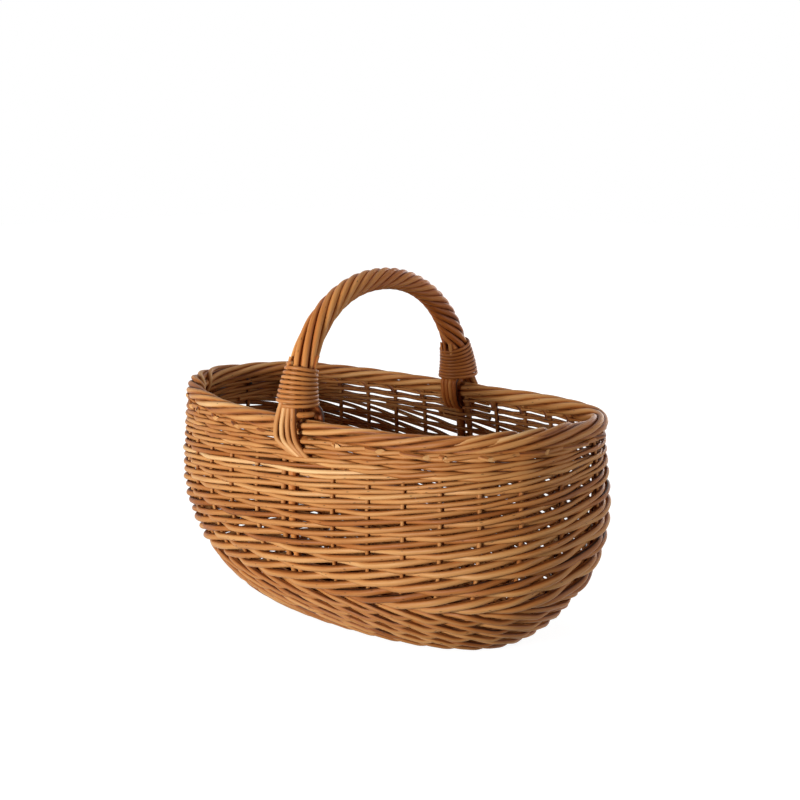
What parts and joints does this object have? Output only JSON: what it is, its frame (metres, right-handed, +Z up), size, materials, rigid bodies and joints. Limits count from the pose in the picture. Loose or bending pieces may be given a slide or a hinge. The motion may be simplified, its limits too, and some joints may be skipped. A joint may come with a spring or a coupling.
{
  "type": "wicker firewood basket",
  "caption": "Oval round-bottomed wicker basket of woven willow rods with a rolled border and a fixed roped bow handle across the middle, for carrying firewood.",
  "frame": {"origin": "middle of the base's flat underside, where the basket rests", "axes": "+X along the basket's length, +Y across it in the plane of the bow handle, +Z up"},
  "size_m": [0.5012, 0.2975, 0.3595],
  "materials": {
    "stakes": "varnished willow, darker upright stakes",
    "weave": "varnished honey-brown willow rods",
    "border": "varnished honey-brown willow rods",
    "base": "varnished willow, duller under the basket",
    "handle": "varnished willow rods twisted into a rope",
    "lapping": "glossy dark willow binding"
  },
  "bodies": {
    "root": {"upsett_row_1": "weave", "upsett_row_2": "weave", "upsett_row_3": "weave", "upsett_row_4": "weave", "siding_row_1": "weave", "siding_row_2": "weave", "siding_row_3": "weave", "siding_row_4": "weave", "siding_row_5": "weave", "siding_row_6": "weave", "siding_row_7": "weave", "siding_row_8": "weave", "top_row_1": "weave", "top_row_2": "weave", "stake_1": "stakes", "stake_2": "stakes", "stake_3": "stakes", "stake_4": "stakes", "stake_5": "stakes", "stake_6": "stakes", "stake_7": "stakes", "stake_8": "stakes", "stake_9": "stakes", "stake_10": "stakes", "stake_11": "stakes", "stake_12": "stakes", "stake_13": "stakes", "stake_14": "stakes", "stake_16": "stakes", "stake_17": "stakes", "stake_18": "stakes", "stake_19": "stakes", "stake_20": "stakes", "stake_21": "stakes", "stake_22": "stakes", "stake_23": "stakes", "stake_24": "stakes", "stake_25": "stakes", "stake_26": "stakes", "stake_27": "stakes", "stake_28": "stakes", "stake_29": "stakes", "rim_border": "border", "base_mat": "base", "handle_bow": "handle", "handle_roping": "handle", "near_lapping": "lapping", "far_lapping": "lapping", "near_outer_tails": "handle", "near_inner_tails": "handle", "far_outer_tails": "handle", "far_inner_tails": "handle", "long_stick_1": "base", "long_stick_2": "base", "long_stick_3": "base", "cross_stick_1": "base", "cross_stick_2": "base", "cross_stick_3": "base", "cross_stick_4": "base"}
  },
  "joints": []
}
